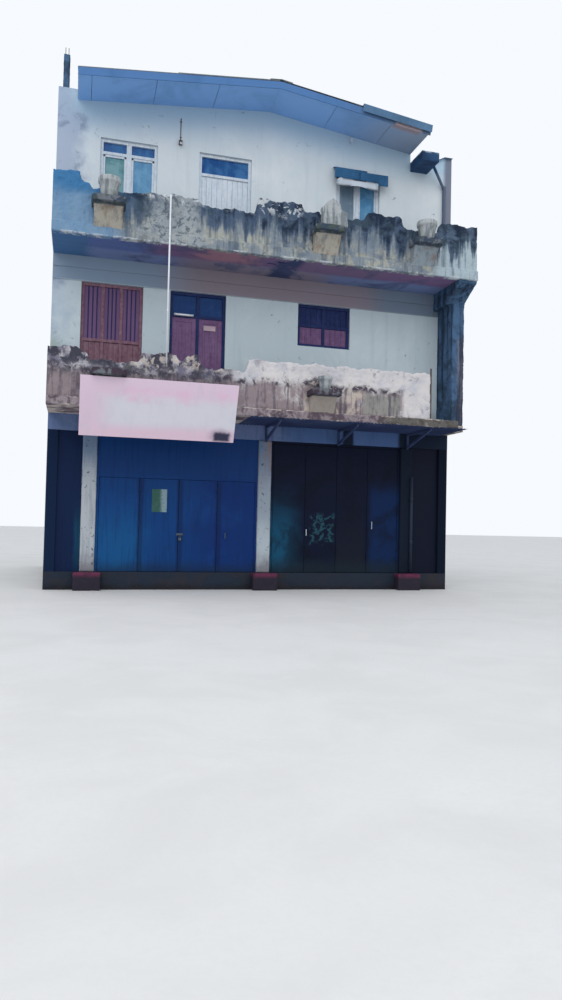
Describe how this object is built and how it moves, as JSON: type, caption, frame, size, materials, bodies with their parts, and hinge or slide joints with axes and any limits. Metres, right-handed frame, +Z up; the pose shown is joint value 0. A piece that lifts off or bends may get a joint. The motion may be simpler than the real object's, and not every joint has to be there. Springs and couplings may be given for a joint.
{
  "type": "corner shop building",
  "caption": "Three-storey rendered corner shop house with folding steel shop doors, walk-out balconies with worn crenellated parapets, a leaning sign board and a low gable roof.",
  "frame": {"origin": "bottom centre of the overall box, on the ground under the middle of the house", "axes": "+Z up, -Y towards the street front, +X to the right seen from the street"},
  "size_m": [8.52, 9.5202, 10.7023],
  "materials": {
    "stained_concrete": "matte",
    "maroon_paint": "matte",
    "column_render": "matte",
    "beam_paint": "matte",
    "side_render": "matte",
    "steel_grey": "satin",
    "dark_blue_steel": "satin",
    "blue_steel": "satin",
    "canopy_metal": "matte",
    "sign_sheet": "satin",
    "bare_steel": "matte",
    "weathered_render": "matte",
    "wall_render": "matte",
    "brown_timber": "matte",
    "maroon_timber": "satin",
    "mossy_render": "matte",
    "cast_cement": "matte",
    "window_paint": "satin",
    "roof_sheeting": "matte",
    "soffit_board": "matte",
    "gutter_metal": "satin",
    "white_plastic": "satin"
  },
  "bodies": {
    "root": {"plinth": "stained_concrete", "column_bases": "maroon_paint", "ground_columns": "column_render", "ground_beam": "beam_paint", "ground_side_walls": "side_render", "ground_back_wall": "side_render", "back_door": "steel_grey", "corner_panels": "dark_blue_steel", "left_shutter_frame": "blue_steel", "left_shutter_leaves": "blue_steel", "right_shutter_frame": "dark_blue_steel", "right_shutter_leaves": "dark_blue_steel", "canopy_sheet": "canopy_metal", "canopy_brackets": "canopy_metal", "sign_board": "sign_sheet", "sign_brackets": "bare_steel", "first_floor_slab": "stained_concrete", "first_parapet": "weathered_render", "first_front_wall": "wall_render", "first_side_walls": "side_render", "first_back_wall": "side_render", "first_screen": "brown_timber", "first_door": "maroon_timber", "first_window": "maroon_timber", "right_pier": "mossy_render", "second_floor_slab": "stained_concrete", "upper_parapet": "mossy_render", "parapet_ledges": "mossy_render", "ledge_pots": "cast_cement", "second_front_wall": "wall_render", "second_side_walls": "side_render", "second_back_wall": "side_render", "upper_left_window": "window_paint", "upper_door": "window_paint", "upper_right_window": "window_paint", "window_blind": "dark_blue_steel", "plain_windows": "window_paint", "roof_purlins": "brown_timber", "roof_sheet_left": "roof_sheeting", "roof_sheet_right": "roof_sheeting", "ridge_cap": "roof_sheeting", "verge_soffit": "soffit_board", "verge_boards": "soffit_board", "roof_gutters": "gutter_metal", "roof_flashing": "gutter_metal", "roof_stub": "stained_concrete", "front_pipe": "white_plastic"}
  },
  "joints": []
}
